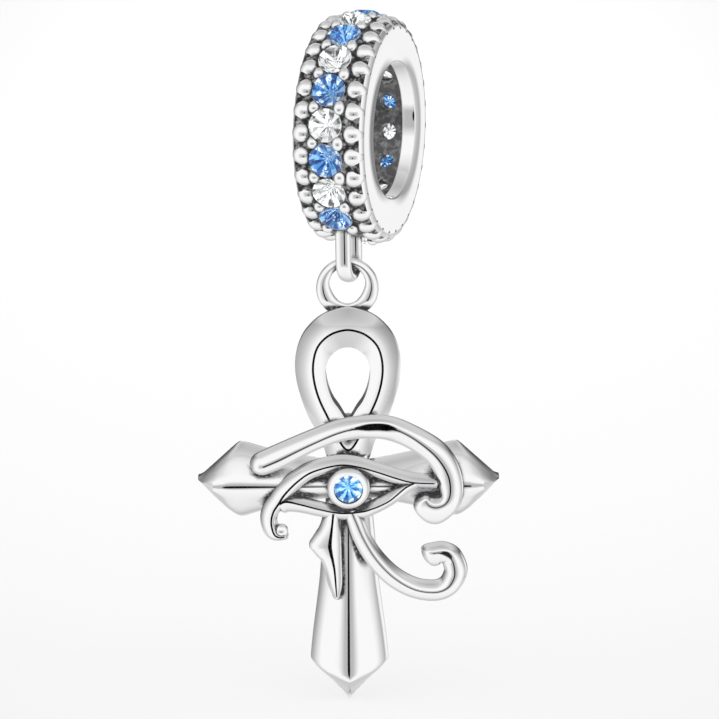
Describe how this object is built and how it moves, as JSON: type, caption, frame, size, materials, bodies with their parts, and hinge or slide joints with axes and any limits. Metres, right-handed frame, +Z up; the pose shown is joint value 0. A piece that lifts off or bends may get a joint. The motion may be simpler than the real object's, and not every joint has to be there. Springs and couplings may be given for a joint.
{
  "type": "cross charm",
  "caption": "Bracelet charm: a stone-set ring bead with a fixed loop, and an ankh pendant with an eye over its front that swings from it.",
  "frame": {"origin": "middle of the bead's hole, where a bracelet runs through", "axes": "+Z up, the way the charm hangs; front of the pendant towards -Y"},
  "size_m": [0.0108, 0.0082, 0.0247],
  "materials": {
    "silver": "polished silver, darkened in the recesses",
    "blue_stone": "clear cut blue stone",
    "clear_stone": "clear cut colourless stone"
  },
  "bodies": {
    "bead": {"bead": "silver", "blue_stone_1": "blue_stone", "blue_stone_2": "blue_stone", "blue_stone_3": "blue_stone", "blue_stone_4": "blue_stone", "blue_stone_5": "blue_stone", "blue_stone_6": "blue_stone", "blue_stone_7": "blue_stone", "blue_stone_8": "blue_stone", "blue_stone_9": "blue_stone", "clear_stone_1": "clear_stone", "clear_stone_2": "clear_stone", "clear_stone_3": "clear_stone", "clear_stone_4": "clear_stone", "clear_stone_5": "clear_stone", "clear_stone_6": "clear_stone", "clear_stone_7": "clear_stone", "clear_stone_8": "clear_stone", "clear_stone_9": "clear_stone"},
    "pendant": {"pendant": "silver", "eye_stone": "blue_stone"}
  },
  "joints": [
    {"name": "pendant_swing", "type": "hinge", "parent": "bead", "child": "pendant", "pos_m": [-0.0004, -0.00122, -0.0046], "axis": [1, 0, 0], "range_deg": [-70, 70]}
  ]
}
